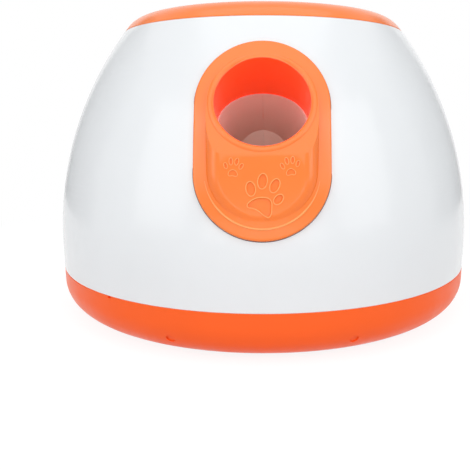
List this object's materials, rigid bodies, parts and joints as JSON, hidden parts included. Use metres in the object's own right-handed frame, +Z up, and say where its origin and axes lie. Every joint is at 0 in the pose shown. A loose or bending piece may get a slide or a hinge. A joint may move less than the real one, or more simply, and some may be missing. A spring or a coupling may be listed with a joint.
{
  "type": "automatic dog ball launcher",
  "caption": "Domed automatic ball launcher for dogs: feed funnel on top, slanted outlet in front, spring striker with geared motor, battery base and push-button panel.",
  "frame": {"origin": "centre of the housing on the table, under its round feet", "axes": "+Z up; the ball leaves towards -Y; the control panel is at +Y; +X is to the right seen from the outlet side"},
  "size_m": [0.31, 0.3116, 0.2123],
  "materials": {
    "shell_white": "smooth injection-moulded ABS, high gloss",
    "trim_orange": "satin-gloss moulded ABS, light orange",
    "base_orange": "satin-gloss moulded ABS, deeper red orange",
    "barrel_white": "moulded ABS, inside of the ball path",
    "inner_plastic": "moulded plastic, unpainted",
    "slide_plastic": "acetal, black",
    "gear_plastic": "acetal, natural",
    "rubber": "moulded rubber",
    "screw_steel": "zinc-plated steel",
    "spring_steel": "drawn spring wire",
    "motor_steel": "drawn steel, plated",
    "motor_core": "laminated core with lacquered windings",
    "brass": "cut brass",
    "black_plastic": "moulded plastic, black",
    "cell_jacket": "printed metal jacket",
    "contact_metal": "nickel-plated sheet",
    "light_clear": "clear polycarbonate",
    "board_green": "glass-fibre board with solder mask",
    "button_white": "moulded ABS",
    "paper_black": "pressed paper",
    "wire_red": "PVC insulation, red",
    "wire_grey": "PVC insulation, dark grey"
  },
  "bodies": {
    "housing": {"barrel_cap": "barrel_white", "barrel_left": "barrel_white", "barrel_right": "barrel_white", "barrel_screws": "screw_steel", "base_pan": "base_orange", "battery_contacts": "contact_metal", "battery_lead": "wire_red", "battery_springs": "spring_steel", "board_parts": "black_plastic", "board_screws": "screw_steel", "button_board": "board_green", "button_board_parts": "black_plastic", "button_board_screws": "screw_steel", "c_cells": "cell_jacket", "cap_screws": "screw_steel", "case_screws": "screw_steel", "control_panel": "trim_orange", "dc_inlet": "black_plastic", "distance_spring": "spring_steel", "dome_shell": "shell_white", "ear_screws": "screw_steel", "feed_funnel": "trim_orange", "funnel_screws": "screw_steel", "gear_axles": "screw_steel", "gearbox_screws": "screw_steel", "inlet_lead": "wire_grey", "inlet_nut": "contact_metal", "light_pipes": "light_clear", "main_board": "board_green", "main_spring": "spring_steel", "micro_switch": "black_plastic", "motor_can": "motor_steel", "motor_endbell": "black_plastic", "motor_lead": "wire_red", "motor_screws": "screw_steel", "outlet_bezel": "trim_orange", "outlet_clamp": "inner_plastic", "outlet_screws": "screw_steel", "panel_lead": "wire_grey", "power_spring": "spring_steel", "rubber_feet": "rubber", "screw_plugs": "base_orange", "speaker_cone": "paper_black", "speaker_frame": "motor_steel", "speaker_lead": "wire_grey", "stop_bumper": "rubber", "switch_lead": "wire_grey", "switch_screws": "screw_steel"},
    "striker": {"striker": "slide_plastic", "striker_pad": "rubber"},
    "cam": {"cam_gear": "gear_plastic"},
    "second_stage": {"second_gear": "gear_plastic"},
    "first_stage": {"first_gear": "gear_plastic"},
    "rotor": {"motor_rotor": "motor_core", "motor_pinion": "brass"},
    "power_key": {"power_button": "button_white"},
    "distance_key": {"distance_button": "button_white"},
    "door": {"battery_door": "base_orange"},
    "lever": {"ball_lever": "slide_plastic"}
  },
  "joints": [
    {"name": "motor_turn", "type": "hinge", "parent": "housing", "child": "rotor", "pos_m": [0.03, 0.03539, 0.10327], "axis": [-1, 0, 0], "range_deg": [0, 12223.1]},
    {"name": "first_stage_turn", "type": "hinge", "parent": "housing", "child": "first_stage", "pos_m": [0.017, 0.04288, 0.12181], "axis": [1, 0, 0], "range_deg": [0, 3055.78]},
    {"name": "second_stage_turn", "type": "hinge", "parent": "housing", "child": "second_stage", "pos_m": [0.01, 0.06168, 0.12865], "axis": [-1, 0, 0], "range_deg": [0, 763.94]},
    {"name": "cam_turn", "type": "hinge", "parent": "housing", "child": "cam", "pos_m": [0.005, 0.07618, 0.10354], "axis": [1, 0, 0], "range_deg": [0, 159.16]},
    {"name": "striker_slide", "type": "slide", "parent": "housing", "child": "striker", "axis": [0, 0.8829, -0.4695], "range_m": [0, 0.05], "stiffness_N_per_m": 1200, "springref_m": -0.0167, "deforming": ["main_spring"]},
    {"name": "power_press", "type": "slide", "parent": "housing", "child": "power_key", "axis": [0, -1, 0], "range_m": [0, 0.0015], "stiffness_N_per_m": 400, "springref_m": -0.0015, "deforming": ["power_spring"]},
    {"name": "distance_press", "type": "slide", "parent": "housing", "child": "distance_key", "axis": [0, -1, 0], "range_m": [0, 0.0015], "stiffness_N_per_m": 400, "springref_m": -0.0015, "deforming": ["distance_spring"]},
    {"name": "door_turn", "type": "hinge", "parent": "housing", "child": "door", "pos_m": [0, -0.0265, 0.0065], "axis": [1, 0, 0], "range_deg": [0, 90]},
    {"name": "lever_turn", "type": "hinge", "parent": "housing", "child": "lever", "pos_m": [0, -0.01375, 0.04943], "axis": [1, 0, 0], "range_deg": [0, 7.5], "stiffness_Nm_per_rad": 0.05, "springref_deg": -5.73}
  ],
  "couplings": [
    {"joint": "cam_turn", "follows": "striker_slide", "rad_per_m": 55.556},
    {"joint": "second_stage_turn", "follows": "striker_slide", "rad_per_m": 266.67},
    {"joint": "first_stage_turn", "follows": "striker_slide", "rad_per_m": 1066.7},
    {"joint": "motor_turn", "follows": "striker_slide", "rad_per_m": 4266.7}
  ]
}
